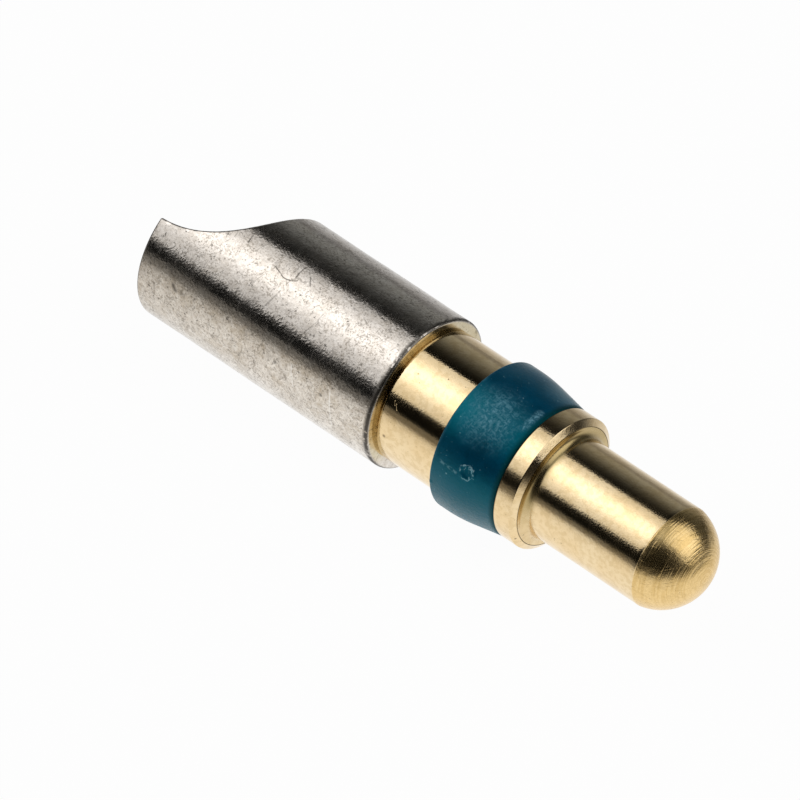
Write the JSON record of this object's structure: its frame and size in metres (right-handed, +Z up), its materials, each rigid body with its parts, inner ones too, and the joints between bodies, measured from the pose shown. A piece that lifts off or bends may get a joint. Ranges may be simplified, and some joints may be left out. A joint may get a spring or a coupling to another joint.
{
  "type": "d-sub power contact",
  "caption": "Turned, gold-plated connector pin with a tapered plastic retention ring and a tin-plated solder cup whose scooped mouth takes the wire.",
  "frame": {"origin": "on the contact's axis at the front face of the solder cup, the shoulder that seats against the insulator", "axes": "+X along the axis towards the nose of the pin, +Z up as the contact lies on its side; the cup's mouth is turned 56 degrees from +Z towards +Y"},
  "size_m": [0.022, 0.0054, 0.0054],
  "materials": {
    "tin_plate": "tumbled tin plate over brass, satin with fine dark scratches",
    "gold_plate": "pale gold plate over turned brass, bright with faint turning marks",
    "ring_plastic": "moulded petrol-blue plastic, satin and lightly scuffed"
  },
  "bodies": {
    "root": {"solder_cup": "tin_plate", "contact_pin": "gold_plate", "retention_ring": "ring_plastic"}
  },
  "joints": []
}
